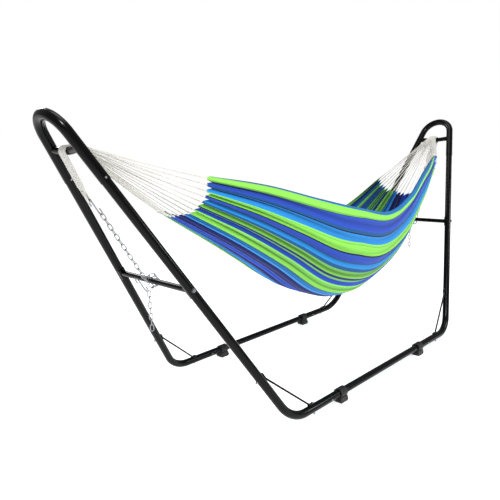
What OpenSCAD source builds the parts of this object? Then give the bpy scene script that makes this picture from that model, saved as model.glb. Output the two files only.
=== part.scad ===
// Striped sling hammock on a knock-down steel tube stand. Millimetres, +Z up.
// +X runs along the hammock, -Y is the near side, the floor is z = 0.

/* [Stand] */
// Length of one base rail between the corners its tubes would meet at
base_len = 1430; // [1400:10:1460]
// Distance between the two base rails, centre to centre
rail_gap = 856; // [840:2:870]
// Height of the base rails' centre line above the floor
rail_h = 45; // [42:1:48]
// Outward lean of each arch from upright, in degrees
arch_lean = 29.7; // [29:0.1:30.5]
// Length of the arch plane from the corner to the top of the hairpin
arch_len = 1486; // [1470:2:1500]
// Centre-line radius of the hairpin at the top of an arch
hairpin_r = 102; // [96:1:106]
// Centre-line radius of the bends at the base corners
bend_r = 150; // [120:5:160]
// Distance of each foot from the middle of the base rail
foot_x = 367; // [360:1:380]

/* [Tubes] */
// Outer diameter of the hairpin tubes
arch_od = 41.3; // [41.2:0.1:41.6]
// Outer diameter of the corner tubes
corner_od = 38.1; // [38:0.1:38.1]
// Outer diameter of the middle rails
mid_od = 34.9; // [34.6:0.1:34.9]
// Wall of every frame tube
tube_wall = 1.5; // [1.2:0.1:1.5]
// Outer diameter of the lower crossbars
cross_od = 25.4; // [22:0.1:28]
// Outer diameter of the hook bars
hook_od = 28; // [26:1:30]

/* [Places along an arch] */
// Lower crossbar, measured up the arch from the corner
cross_s = 719; // [700:1:740]
// Sleeve joint between the corner tube and the hairpin tube
joint_s = 1213; // [1200:1:1225]
// Hook bar ends, measured up the arch from the corner
hook_s = 1352; // [1345:1:1360]
// How far the hook bar dips at its middle
hook_dip = 12; // [8:1:14]
// Depth that one tube slides into the next
tube_insert = 115; // [100:5:120]

/* [Small parts] */
// Diameter of a snap button
button_d = 8; // [7:0.5:9]
// Travel of a snap button
button_travel = 5; // [4.8:0.1:5.2]
// Height that a snap button stands out of its tube
button_proud = 3; // [2.5:0.1:3]
// Wire diameter of a chain link
link_wire = 4; // [3.5:0.1:4]
// Inside length of a chain link
link_inside = 25; // [24.5:0.1:25.5]
// Outside width of a chain link
link_width = 18; // [17:0.5:19]
// Wire diameter of the S hooks
hook_wire = 5.8; // [5:0.1:6]

/* [Hammock] */
// Thickness of the cloth's solid
cloth_t = 6; // [5:0.5:8]
// Diameter of one clew string
string_d = 3; // [2.5:0.1:3.5]
// Number of clew strings at each end
string_count = 17; // [9:2:21]
// Width of the woven band over a hook bar
band_w = 46; // [40:1:48]

/* [Hidden] */

$fn = 48;
SIDES = [-1, 1];
BLACK = [0.06, 0.06, 0.065];
RUBBER = [0.09, 0.09, 0.09];
ZINC = [0.72, 0.73, 0.75];
COTTON = [0.93, 0.92, 0.88];
CLOTH = [0.16, 0.42, 0.86];

gap = 0.1;      // sliding gap between telescoping tubes
fit_gap = 0.3;  // gap between loose neighbours
cut = 1;        // extra length of a cutting tool past a face

// Arch plane: y across, s up the arch. The leg leans in by taper degrees and meets the hairpin.
hairpin_s = arch_len - hairpin_r;
leg_reach = norm([rail_gap / 2, hairpin_s]);
taper = acos(hairpin_r / leg_reach) - atan2(hairpin_s, rail_gap / 2);
tangent_y = hairpin_r * cos(taper);
tangent_s = hairpin_s + hairpin_r * sin(taper);

// Corner plane: it holds the base rail and the leg, and tips inward by corner_tip degrees.
corner_tip = atan2(sin(taper), cos(taper) * cos(arch_lean));
turn = acos(cos(taper) * sin(arch_lean));
bend_reach = bend_r * tan(turn / 2);

leg_insert = 60;
bend_swell = 0.3;  // a bend is this much thicker than its straights, which end inside it
bend_lap = 1;
foot_len = 46;
foot_r = 24.5;
foot_lip = 5;
foot_base_w = 44;
sole_len = 64;
sole_h = 24;
stub_end = foot_x - foot_len / 2 + foot_lip;
button_x = foot_x + 90;
bolt_r = 4;
bolt_gap = 0.25;
brace_rod_r = 4.5;
brace_leg_at = 258;
brace_rail_at = 142;
tab_t = 4;
tab_w = 20;
tab_len = 38;
brace_bolt_r = 3;

link_pitch = link_inside - fit_gap;
link_r = (link_width - link_wire) / 2;
s_hook_r = 14;
s_hook_low = 1097;
s_hook_high = 1135;
chain_out = 30;
wrap_r = 26;
wrap_turn = 2 * asin(link_pitch / 2 / wrap_r);
wrap_links = 6;
wrap_step = 4;
tail_links = 7;
band_t = 8;
band_skin = 4;
bar_mid_s = hook_s - hook_dip;

// Guide curves of the cloth from its left end to its right end, each in its own section of the pouch.
near_edge = [[-890, -200, 1090], [-640, -280, 1035], [-380, -340, 958], [-120, -380, 890],
             [130, -390, 846], [350, -380, 905], [600, -335, 1020], [905, -250, 1110]];
seat_line = [[-915, 30, 919], [-630, 50, 760], [-345, 70, 582], [-65, 85, 392],
             [195, 90, 318], [465, 90, 360], [805, 70, 476], [906, 35, 646], [985, 10, 848]];
far_edge = [[-905, 150, 938], [-620, 305, 840], [-330, 400, 735], [-20, 442, 665],
            [260, 443, 645], [520, 415, 700], [745, 310, 800], [925, 175, 965]];
cloth_rows = 28;
cloth_cols = 20;
cloth_h = 0.01;

// A point on a smooth curve through the points p, at u from 0 to 1.
function along(p, u) =
    let (n = len(p) - 1,
         s = min(max(u, 0) * n, n - 0.0001),
         i = floor(s),
         t = s - i,
         b = p[i],
         c = p[i + 1],
         a = i > 0 ? p[i - 1] : 2 * b - c,
         d = i + 2 <= n ? p[i + 2] : 2 * c - b)
    (2 * b + (c - a) * t + (2 * a - 5 * b + 4 * c - d) * t * t + (3 * b - a - 3 * c + d) * t * t * t) / 2;

// A point on the cloth: u runs left to right, v is -1 at the near edge, 0 at the seat, 1 at the far edge.
function cloth_at(u, v) =
    let (seat = along(seat_line, u),
         edge = along(v < 0 ? near_edge : far_edge, u),
         a = abs(v) * 90,
         d = edge - seat)
    seat + [d.x * sin(a), d.y * sin(a), d.z * (1 - cos(a))];

function unit(v) = v / norm(v);

// Direction across the cloth, pointing into the pouch.
function cloth_normal(u, v) =
    let (u0 = max(u - cloth_h, 0),
         u1 = min(u + cloth_h, 1),
         v0 = max(v - cloth_h, -1),
         v1 = min(v + cloth_h, 1))
    unit(cross(cloth_at(u1, v) - cloth_at(u0, v), cloth_at(u, v1) - cloth_at(u, v0)));

// From the arch plane (out of the plane, across, up the arch) to the frame, on the side sx.
function arch_point(sx, p) =
    [sx * (base_len / 2 + p.x * cos(arch_lean) + p.z * sin(arch_lean)),
     p.y,
     rail_h - p.x * sin(arch_lean) + p.z * cos(arch_lean)];

function leg_y(s) = rail_gap / 2 - s * tan(taper);

// ---- helpers ----

module rod(a, b, r) {
    d = b - a;
    translate(a) rotate([0, acos(d.z / norm(d)), atan2(d.y, d.x)]) cylinder(r = r, h = norm(d));
}

module pipe(a, b, od) {
    reach = unit(b - a) * cut;
    difference() {
        rod(a, b, od / 2);
        rod(a - reach, b + reach, od / 2 - tube_wall);
    }
}

module bent_rod(r, d, angle) {
    rotate_extrude(angle = angle, $fn = 72) translate([r, 0]) circle(d = d, $fn = 36);
}

// Children drawn for the right and far side go to the side sx, sy.
module placed(sx, sy) {
    mirror([sx < 0 ? 1 : 0, 0, 0]) mirror([0, sy < 0 ? 1 : 0, 0]) children();
}

// Arch plane of the right side: local x points out and down, y across, z up the arch.
module in_arch() {
    translate([base_len / 2, 0, rail_h]) rotate([0, arch_lean, 0]) children();
}

// Corner plane of the right far corner: local x along the rail, z up in the plane of the bend.
module in_corner() {
    translate([base_len / 2, rail_gap / 2, rail_h]) rotate([corner_tip, 0, 0]) children();
}

function leg_line(l) = [l * cos(turn), 0, l * sin(turn)];

module hex_head(r, h) { cylinder(r = r, h = h, $fn = 6); }

// Place of a hole or pin at the sleeve joint, its axis along local z pointing to the near side.
module at_arch_button(sx, sy) {
    mirror([sx < 0 ? 1 : 0, 0, 0]) in_arch()
        translate([0, sy * leg_y(joint_s + 12), joint_s + 12]) rotate([90 + sy * taper, 0, 0]) children();
}

module at_base_button(sx, sy) {
    translate([sx * button_x, sy * rail_gap / 2, rail_h]) rotate([90, 0, 0]) children();
}

module button_hole() { cylinder(d = button_d + 4 * gap, h = arch_od); }

// ---- stand ----

// Solid hairpin of diameter d, its open ends lengthened by extra.
module hairpin(d, extra) {
    end_s = joint_s - extra;
    in_arch() {
        translate([0, 0, hairpin_s]) rotate([90, 0, 90]) rotate([0, 0, taper])
            bent_rod(hairpin_r, d + bend_swell, 180 - 2 * taper);
        for (sy = SIDES)
            rod([0, sy * leg_y(tangent_s + bend_lap), tangent_s + bend_lap],
                [0, sy * leg_y(end_s), end_s], d / 2);
    }
}

module arch(sx) {
    color(BLACK) difference() {
        mirror([sx < 0 ? 1 : 0, 0, 0]) difference() {
            hairpin(arch_od, 0);
            hairpin(arch_od - 2 * tube_wall, cut);
        }
        for (sy = SIDES) at_arch_button(sx, sy) button_hole();
    }
}

module corner_bolt_holes() {
    in_corner() {
        translate([-brace_rail_at, 0, -corner_od]) cylinder(r = brace_bolt_r + bolt_gap, h = 2 * corner_od);
        translate(leg_line(brace_leg_at)) rotate([0, -turn, 0])
            translate([0, 0, -corner_od]) cylinder(r = brace_bolt_r + bolt_gap, h = 2 * corner_od);
    }
    in_arch() translate([0, leg_y(cross_s), cross_s]) rotate([90 + taper, 0, 0])
        translate([0, 0, -corner_od]) cylinder(r = bolt_r + bolt_gap, h = 2 * corner_od);
}

// Solid rail stub, bend and leg of diameter d, its open ends lengthened by extra.
module elbow(d, extra) {
    in_corner() {
        rod([bend_lap - bend_reach, 0, 0], [stub_end - base_len / 2 - extra, 0, 0], d / 2);
        translate([-bend_reach, 0, bend_r]) rotate([90, 0, 0]) rotate([0, 0, -90])
            bent_rod(bend_r, d + bend_swell, turn);
        rod(leg_line(bend_reach - bend_lap), leg_line((joint_s + leg_insert) / cos(taper) + extra), d / 2);
    }
}

module corner(sx, sy) {
    color(BLACK) difference() {
        placed(sx, sy) difference() {
            elbow(corner_od, 0);
            elbow(corner_od - 2 * tube_wall, cut);
            corner_bolt_holes();
        }
        at_arch_button(sx, sy) button_hole();
        at_base_button(sx, sy) button_hole();
    }
}

module mid_rail(sy) {
    half = stub_end + tube_insert;
    color(BLACK) difference() {
        pipe([-half, sy * rail_gap / 2, rail_h], [half, sy * rail_gap / 2, rail_h], mid_od);
        for (sx = SIDES) at_base_button(sx, sy) button_hole();
    }
}

// Moulded foot: a collar round the sleeve joint over a sole with sloping ends.
module foot(sx, sy) {
    color(RUBBER) placed(sx, sy) translate([foot_x, rail_gap / 2, 0]) difference() {
        union() {
            translate([-foot_len / 2, 0, rail_h]) rotate([0, 90, 0]) cylinder(r = foot_r, h = foot_len);
            translate([0, foot_base_w / 2, 0]) rotate([90, 0, 0]) linear_extrude(foot_base_w)
                polygon([[-sole_len / 2 + 8, 0], [sole_len / 2 - 8, 0], [sole_len / 2, 8],
                         [foot_len / 2, sole_h + 4], [-foot_len / 2, sole_h + 4], [-sole_len / 2, 8]]);
        }
        translate([-foot_len / 2 + foot_lip, 0, rail_h]) rotate([0, 90, 0])
            cylinder(d = corner_od + 2 * gap, h = foot_len);
        translate([-foot_len, 0, rail_h]) rotate([0, 90, 0]) cylinder(d = mid_od + 2 * gap, h = 2 * foot_len);
    }
}

// Flattened end of a brace: the bolt goes through the origin, and the rod joins it at +x * way.
module tab_plate(way) {
    linear_extrude(tab_t) {
        translate([way * (tab_len - tab_w) / 2, 0]) square([tab_len - tab_w, tab_w], center = true);
        for (x = [0, way * (tab_len - tab_w)]) translate([x, 0]) circle(d = tab_w);
    }
}

// Corner brace: a round rod flattened to a tab at each end, one tab on the leg and one on the rail.
module brace(sx, sy) {
    seat = corner_od / 2 + gap;
    root = tab_len - tab_w;
    leg_root = leg_line(brace_leg_at - root) + [-sin(turn), 0, cos(turn)] * (seat + tab_t / 2);
    rail_root = [root - brace_rail_at, 0, seat + tab_t / 2];
    color(BLACK) placed(sx, sy) in_corner() difference() {
        union() {
            translate([-brace_rail_at, 0, seat]) tab_plate(1);
            translate(leg_line(brace_leg_at)) rotate([0, -turn, 0]) translate([0, 0, seat]) tab_plate(-1);
            rod(leg_root, rail_root, brace_rod_r);
            for (p = [leg_root, rail_root]) translate(p) sphere(r = brace_rod_r + fit_gap);
        }
        translate([-brace_rail_at, 0, 0]) cylinder(r = brace_bolt_r + bolt_gap, h = 2 * corner_od);
        translate(leg_line(brace_leg_at)) rotate([0, -turn, 0])
            cylinder(r = brace_bolt_r + bolt_gap, h = 2 * corner_od);
        pipe_clear();
    }
}

// Room for the corner tube, cut out of a brace.
module pipe_clear() {
    rod([-bend_reach, 0, 0], [-bend_reach - 2 * brace_rail_at, 0, 0], corner_od / 2 + gap / 2);
    rod(leg_line(bend_reach), leg_line(2 * brace_leg_at), corner_od / 2 + gap / 2);
}

// Children drawn with z out of the tube at each of the two tabs of one brace.
module at_tabs() {
    in_corner() {
        translate([-brace_rail_at, 0, 0]) children();
        translate(leg_line(brace_leg_at)) rotate([0, -turn, 0]) children();
    }
}

module brace_bolts() {
    head_z = corner_od / 2 + gap + tab_t + gap;
    tip_z = -corner_od / 2 - 10;
    color(ZINC) for (sx = SIDES, sy = SIDES) placed(sx, sy) at_tabs() {
        translate([0, 0, tip_z]) cylinder(r = brace_bolt_r, h = head_z - tip_z + 1);
        translate([0, 0, head_z]) hex_head(5.5, 4);
    }
}

module brace_nuts() {
    color(ZINC) for (sx = SIDES, sy = SIDES) placed(sx, sy) at_tabs()
        translate([0, 0, -corner_od / 2 - gap - 5]) difference() {
            hex_head(5.6, 5);
            translate([0, 0, -cut]) cylinder(r = brace_bolt_r + gap / 2, h = 5 + 2 * cut);
        }
}

// Crossbar: a tube with a plugged end and a saddle plate that hugs each leg.
module lower_crossbar(sx) {
    hug = corner_od / 2 + gap;
    saddle_t = 3.5;
    saddle_len = 56;
    plug_len = 24;
    color(BLACK) mirror([sx < 0 ? 1 : 0, 0, 0]) in_arch() difference() {
        union() {
            pipe([0, -leg_y(cross_s), cross_s], [0, leg_y(cross_s), cross_s], cross_od);
            for (sy = SIDES) mirror([0, sy < 0 ? 1 : 0, 0]) translate([0, leg_y(cross_s), cross_s]) {
                intersection() {
                    rotate([taper, 0, 0]) cylinder(r = hug + saddle_t, h = saddle_len, center = true);
                    translate([0, -hug - saddle_t, 0]) cube([34, 2 * hug, 2 * saddle_len], center = true);
                }
                rod([0, -hug - plug_len, 0], [0, 0, 0], cross_od / 2 - gap);
            }
        }
        for (sy = SIDES) mirror([0, sy < 0 ? 1 : 0, 0]) translate([0, leg_y(cross_s), cross_s]) {
            rotate([taper, 0, 0]) cylinder(r = hug, h = 4 * saddle_len, center = true);
            rotate([90 + taper, 0, 0]) cylinder(r = bolt_r + gap, h = 2 * hug + 4);
        }
    }
}

module at_crossbar_bolts() {
    for (sx = SIDES, sy = SIDES) placed(sx, sy)
        in_arch() translate([0, leg_y(cross_s), cross_s]) rotate([taper - 90, 0, 0]) children();
}

module crossbar_bolts() {
    head_z = corner_od / 2 + gap + 1.6 + gap;
    color(ZINC) at_crossbar_bolts() {
        translate([0, 0, -2 * corner_od / 2]) cylinder(r = bolt_r, h = corner_od + head_z + 1);
        translate([0, 0, head_z]) hex_head(7.5, 5.5);
    }
}

module crossbar_washers() {
    color(ZINC) at_crossbar_bolts() translate([0, 0, corner_od / 2 + gap]) difference() {
        cylinder(r = 9, h = 1.6);
        translate([0, 0, -cut]) cylinder(r = bolt_r + gap, h = 1.6 + 2 * cut);
    }
}

// Hook bar: it dips at the middle, so a hammock's loop stays centred, and its ends are gusseted.
module hook_bar(sx) {
    span = leg_y(hook_s);
    arc_r = (span * span + hook_dip * hook_dip) / (2 * hook_dip);
    arc_a = asin(span / arc_r);
    gusset = 46;
    color(BLACK) mirror([sx < 0 ? 1 : 0, 0, 0]) in_arch() difference() {
        union() {
            translate([0, 0, bar_mid_s + arc_r]) rotate([90, 0, 90]) rotate([0, 0, 270 - arc_a])
                rotate_extrude(angle = 2 * arc_a, $fn = 96) translate([arc_r, 0]) circle(d = hook_od);
            for (sy = SIDES) translate([-4, 0, 0]) rotate([90, 0, 90]) linear_extrude(8)
                polygon([[sy * span, hook_s], [sy * span, hook_s - 24], [sy * (span - gusset), hook_s - 19],
                         [sy * (span - gusset), hook_s - 8]]);
        }
        for (sy = SIDES)
            rod([0, sy * leg_y(joint_s), joint_s], [0, sy * leg_y(arch_len), arch_len], arch_od / 2 + gap);
    }
}

// Snap button, z pointing out of the tube: a domed pin on a small flange.
module snap_button(tube_r, flange_z) {
    pin_r = button_d / 2;
    dome = 1.5;
    color(ZINC) rotate_extrude()
        polygon([[0, flange_z - 1.5], [6, flange_z - 1.5], [6, flange_z], [pin_r, flange_z],
                 [pin_r, tube_r + button_proud - dome], [pin_r - 0.5, tube_r + button_proud - dome / 2],
                 [pin_r - 1.5, tube_r + button_proud], [0, tube_r + button_proud]]);
}

module button_base(sx, sy) { at_base_button(sx, sy) snap_button(corner_od / 2, 14.5); }
module button_arch(sx, sy) { at_arch_button(sx, sy) snap_button(arch_od / 2, 16); }

// Bent leaf inside a tube, under its button: one arm on the far wall, one rising to the button.
module leaf_spring(run, low, high) {
    t = 0.8;
    translate([0, 4, 0]) rotate([90, 0, 0]) linear_extrude(8)
        polygon([[10 * run, low], [-46 * run, low], [-50 * run, low + 4], [-46 * run, low + 8],
                 [6 * run, high], [6 * run, high - t], [-45 * run, low + 7], [-48 * run, low + 4],
                 [-45 * run, low + t], [10 * run, low + t]]);
}

module button_springs() {
    color(ZINC) for (sx = SIDES, sy = SIDES) {
        at_base_button(sx, sy) leaf_spring(sx, -14, 7);
        at_arch_button(sx, sy) rotate([0, 0, 90]) leaf_spring(1, -15, 8);
    }
}

// ---- suspension ----

// Woven band: it lies over the hook bar, and its outer end is an eye round the S hook.
module end_band(sx) {
    r = hook_od / 2 + 1;
    eye_half = 5;
    eye_s = s_hook_high + sqrt(pow(s_hook_r - hook_wire / 2, 2) - eye_half * eye_half) - fit_gap;
    neck_s = s_hook_high + 45;
    cheek = hook_wire / 2 + fit_gap;
    outer = cheek + band_skin;
    color(COTTON) mirror([sx < 0 ? 1 : 0, 0, 0]) in_arch() {
        translate([0, band_w / 2, bar_mid_s]) rotate([90, 0, 0]) flat_ring(r, r + band_t, band_w, 160);
        slab([r, bar_mid_s], [chain_out - band_t / 2, neck_s], band_t, band_w);
        translate([chain_out - outer, -band_w / 2, neck_s - 8]) cube([2 * outer, band_w, 16]);
        for (x = [-outer, cheek])
            translate([chain_out + x, s_hook_r - eye_half, eye_s - band_skin])
                cube([band_skin, 2 * eye_half, neck_s - eye_s]);
        translate([chain_out - outer, s_hook_r - eye_half, eye_s - band_skin])
            cube([2 * outer, 2 * eye_half, band_skin]);
    }
}

// Part of a flat ring of height w, its axis along z.
module flat_ring(inner, outer, w, angle) {
    rotate_extrude(angle = angle) translate([inner, 0]) square([outer - inner, w]);
}

// A slab between two places in the arch's own section plane (out of plane, up the arch).
module slab(a, b, t, w) {
    translate([0, w / 2, 0]) rotate([90, 0, 0]) linear_extrude(w)
        polygon([a, [a.x + t, a.y], [b.x + t, b.y], b]);
}

// S hook in the arch plane: the upper arc catches the band's eye, the lower one the chain.
module s_hook() {
    half_wire = hook_wire / 2;
    rod([0, 0, s_hook_low], [0, 0, s_hook_high], half_wire);
    for (e = SIDES) {
        arc_s = e > 0 ? s_hook_high : s_hook_low;
        translate([0, e * s_hook_r, arc_s]) rotate([90, 0, 90]) rotate([0, 0, e > 0 ? 0 : 180])
            rotate_extrude(angle = 180) translate([s_hook_r, 0]) circle(r = half_wire);
        rod([0, e * 2 * s_hook_r, arc_s], [0, e * 2 * s_hook_r, arc_s - e * 14], half_wire);
        translate([0, e * 2 * s_hook_r, arc_s - e * 14]) sphere(r = half_wire);
    }
}

module s_hook_upper(sx) {
    color(ZINC) mirror([sx < 0 ? 1 : 0, 0, 0]) in_arch() translate([chain_out, 0, 0]) s_hook();
}

// The lower S hook lies against the chain's wrap, outside it.
module s_hook_lower(sx) {
    color(ZINC) mirror([sx < 0 ? 1 : 0, 0, 0]) in_arch()
        translate([chain_out + 17, wrap_step * wrap_links / 2, cross_s - (s_hook_low + s_hook_high) / 2 + 16])
            s_hook();
}

// Chain link with its length along z and its plane turned by roll degrees about z.
module chain_link(roll) {
    half = link_inside / 2 + link_wire / 2 - link_r;
    rotate([0, 0, roll]) {
        for (e = SIDES) {
            rod([e * link_r, 0, -half], [e * link_r, 0, half], link_wire / 2);
            translate([0, 0, e * half]) rotate([90, 0, 0]) rotate([0, 0, e > 0 ? 0 : 180])
                rotate_extrude(angle = 180, $fn = 24) translate([link_r, 0]) circle(d = link_wire, $fn = 16);
        }
    }
}

chain_top_s = s_hook_low - s_hook_r + hook_wire / 2 + fit_gap - link_inside / 2;
chain_links = floor((chain_top_s - cross_s) / link_pitch);

// Chain: straight down the outside of the arch, then once round the lower crossbar.
module chain(sx) {
    color(ZINC) mirror([sx < 0 ? 1 : 0, 0, 0]) in_arch() {
        for (i = [0 : chain_links - 1])
            translate([chain_out, -s_hook_r, chain_top_s - i * link_pitch]) chain_link(i % 2 == 0 ? 0 : 90);
        for (i = [0 : wrap_links - 1])
            translate([0, -s_hook_r + wrap_step * (i + 1), cross_s]) rotate([0, 12 + wrap_turn * i, 0])
                translate([wrap_r * cos(wrap_turn / 2), 0, 0])
                    chain_link((chain_links + i) % 2 == 0 ? 0 : 90);
    }
}

// Loose end of the chain, hanging straight down beside the crossbar.
tail_top = arch_point(1, [chain_out + 2, wrap_step * wrap_links - s_hook_r + 12, cross_s - 34]);

module chain_tail(sx) {
    color(ZINC) mirror([sx < 0 ? 1 : 0, 0, 0]) for (i = [0 : tail_links - 1])
        translate(tail_top - [0, 0, (i + 0.5) * link_pitch]) chain_link(i % 2 == 0 ? 30 : 120);
}

// ---- hammock ----

module hammock_cloth() {
    row = cloth_cols + 1;
    layer = row * (cloth_rows + 1);
    skin = [for (k = [0, 1], i = [0 : cloth_rows], j = [0 : cloth_cols])
        let (u = i / cloth_rows, v = 2 * j / cloth_cols - 1)
        cloth_at(u, v) + k * cloth_t * cloth_normal(u, v)];
    quads = [for (i = [0 : cloth_rows - 1], j = [0 : cloth_cols - 1])
        let (a = i * row + j) each [[a, a + row, a + row + 1, a + 1],
            [layer + a, layer + a + 1, layer + a + row + 1, layer + a + row]]];
    sides = [for (i = [0 : cloth_rows - 1], e = [0, 1])
        let (a = i * row + e * cloth_cols, b = a + row)
        e == 0 ? [a, layer + a, layer + b, b] : [b, layer + b, layer + a, a]];
    ends = [for (j = [0 : cloth_cols - 1], e = [0, 1])
        let (a = e * cloth_rows * row + j, b = a + 1)
        e == 0 ? [b, layer + b, layer + a, a] : [a, layer + a, layer + b, b]];
    color(CLOTH) polyhedron(points = skin, faces = concat(quads, sides, ends), convexity = 6);
}

// Clew: strings fan from the band to the end of the cloth.
module clew_strings(sx) {
    u = sx < 0 ? 0 : 1;
    root = arch_point(sx, [-30, 0, hook_s]);
    color(COTTON) for (i = [0 : string_count - 1]) {
        v = 0.98 * (2 * i / (string_count - 1) - 1);
        tip = cloth_at(u, v) + cloth_normal(u, v) * cloth_t / 2;
        rod([root.x, v * band_w / 2, root.z], tip, string_d / 2);
    }
}

arch(-1);  // arch_left
arch(1);  // arch_right
corner(-1, -1);  // corner_left_near
corner(-1, 1);  // corner_left_far
corner(1, -1);  // corner_right_near
corner(1, 1);  // corner_right_far
mid_rail(-1);  // mid_rail_near
mid_rail(1);  // mid_rail_far
foot(-1, -1);  // foot_left_near
foot(-1, 1);  // foot_left_far
foot(1, -1);  // foot_right_near
foot(1, 1);  // foot_right_far
brace(-1, -1);  // brace_left_near
brace(-1, 1);  // brace_left_far
brace(1, -1);  // brace_right_near
brace(1, 1);  // brace_right_far
brace_bolts();
brace_nuts();
lower_crossbar(-1);  // lower_crossbar_left
lower_crossbar(1);  // lower_crossbar_right
crossbar_bolts();
crossbar_washers();
hook_bar(-1);  // hook_bar_left
hook_bar(1);  // hook_bar_right
button_base(-1, -1);  // button_base_left_near
button_base(-1, 1);  // button_base_left_far
button_base(1, -1);  // button_base_right_near
button_base(1, 1);  // button_base_right_far
button_arch(-1, -1);  // button_arch_left_near
button_arch(-1, 1);  // button_arch_left_far
button_arch(1, -1);  // button_arch_right_near
button_arch(1, 1);  // button_arch_right_far
button_springs();
end_band(-1);  // end_band_left
end_band(1);  // end_band_right
s_hook_upper(-1);  // s_hook_upper_left
s_hook_upper(1);  // s_hook_upper_right
s_hook_lower(-1);  // s_hook_lower_left
s_hook_lower(1);  // s_hook_lower_right
chain(-1);  // chain_left
chain(1);  // chain_right
chain_tail(-1);  // chain_tail_left
chain_tail(1);  // chain_tail_right
hammock_cloth();
clew_strings(-1);  // clew_strings_left
clew_strings(1);  // clew_strings_right
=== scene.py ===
# %% [markdown]
# # A striped sling hammock on its steel stand
# The stand, chains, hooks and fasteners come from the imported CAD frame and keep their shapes.
# Here they get their finishes, and the soft parts are made in full: the cloth, the fans of
# strings at its ends, and the plaited bands that go over the hook bars. Lengths are in metres.

# %% Load the frame
import math

import bpy
import numpy as np
from mathutils import Matrix, Vector


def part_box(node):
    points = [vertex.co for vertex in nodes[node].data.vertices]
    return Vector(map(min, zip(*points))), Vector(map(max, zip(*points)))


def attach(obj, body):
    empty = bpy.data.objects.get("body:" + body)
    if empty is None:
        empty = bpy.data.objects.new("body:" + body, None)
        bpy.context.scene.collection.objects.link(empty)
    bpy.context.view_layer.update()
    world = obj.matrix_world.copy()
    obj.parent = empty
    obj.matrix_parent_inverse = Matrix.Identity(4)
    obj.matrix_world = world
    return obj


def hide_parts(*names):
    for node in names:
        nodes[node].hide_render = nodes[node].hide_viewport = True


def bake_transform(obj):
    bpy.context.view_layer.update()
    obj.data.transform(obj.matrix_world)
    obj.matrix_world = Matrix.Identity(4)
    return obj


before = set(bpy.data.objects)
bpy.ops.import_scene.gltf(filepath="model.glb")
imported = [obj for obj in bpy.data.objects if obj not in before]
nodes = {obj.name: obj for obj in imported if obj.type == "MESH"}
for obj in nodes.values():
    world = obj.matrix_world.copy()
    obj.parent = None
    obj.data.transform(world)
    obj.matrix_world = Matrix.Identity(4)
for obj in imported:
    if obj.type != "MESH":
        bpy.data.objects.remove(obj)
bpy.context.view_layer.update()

# %% [markdown]
# The camera stands low at the left end of the hammock and looks along it, so the near arch is
# large and the far one small. Yaw, pitch and roll are easier to read than a matrix, so the
# matrix is built from them.

# %% Camera
CAMERA_PLACE = Vector((-2.1787, -1.7656, 1.1636))
CAMERA_YAW, CAMERA_PITCH, CAMERA_ROLL = (math.radians(a) for a in (46.58, -10.62, -2.76))
CAMERA_LENS = 36.29
SENSOR_WIDTH = 36.0


def camera_matrix(place, yaw, pitch, roll):
    """A camera at place that looks along yaw and pitch, tilted by roll."""
    forward = Vector((math.cos(pitch) * math.cos(yaw), math.cos(pitch) * math.sin(yaw), math.sin(pitch)))
    right = Vector((math.sin(yaw), -math.cos(yaw), 0))
    up = right.cross(forward)
    tilted_right = math.cos(roll) * right + math.sin(roll) * up
    tilted_up = -math.sin(roll) * right + math.cos(roll) * up
    turned = Matrix((tilted_right, tilted_up, -forward)).transposed().to_4x4()
    return Matrix.Translation(place) @ turned


camera = bpy.data.objects.new("camera", bpy.data.cameras.new("camera"))
camera.data.lens = CAMERA_LENS
camera.data.sensor_width = SENSOR_WIDTH
camera.matrix_world = camera_matrix(CAMERA_PLACE, CAMERA_YAW, CAMERA_PITCH, CAMERA_ROLL)
bpy.context.scene.collection.objects.link(camera)
bpy.context.scene.camera = camera
print("camera at", [round(v, 2) for v in CAMERA_PLACE])

# %% [markdown]
# A node tree is a list of nodes and links. Four small helpers keep the finishes below short.
# One adds a node with its settings, and one starts a shader group, which is how an effect is
# built once and used by several finishes. One starts a material, and one turns a colour as
# seen on a screen into the linear colour that shaders use.

# %% Node helpers
def add(tree, kind, inputs=None, **settings):
    """Adds a node, with its settings and the values of its inputs."""
    node = tree.nodes.new(kind)
    for name, value in settings.items():
        setattr(node, name, value)
    for name, value in (inputs or {}).items():
        node.inputs[name].default_value = value
    return node


def shader_group(name, inputs, outputs):
    """An empty shader group with its sockets, each (name, socket kind, value)."""
    group = bpy.data.node_groups.new(name, "ShaderNodeTree")
    for label, kind, value in inputs:
        group.interface.new_socket(label, in_out="INPUT", socket_type=kind).default_value = value
    for label, kind in outputs:
        group.interface.new_socket(label, in_out="OUTPUT", socket_type=kind)
    return group, add(group, "NodeGroupInput"), add(group, "NodeGroupOutput")


def finish(name, slot_values):
    """A material with its Principled BSDF, whose constant values are set on its own sockets."""
    made = bpy.data.materials.new(name)
    made.use_nodes = True
    shader = made.node_tree.nodes["Principled BSDF"]
    for socket, value in slot_values.items():
        shader.inputs[socket].default_value = value
    return made, made.node_tree, shader


def linear(red, green, blue):
    """A colour as seen on a screen, from 0 to 255, as the linear colour that shaders use."""
    scaled = [c / 255 for c in (red, green, blue)]
    return [c / 12.92 if c <= 0.04045 else ((c + 0.055) / 1.055) ** 2.4 for c in scaled] + [1.0]


# %% [markdown]
# Every finish on a real object varies: a coat is a little uneven, dust settles in patches, and
# handling polishes some places. One group, read in object coordinates, gives that as a shade
# to multiply the colour by and a value to add to the roughness, with a fine grain as height.

# %% Shared effect: uneven coat
FLOAT = "NodeSocketFloat"


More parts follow.
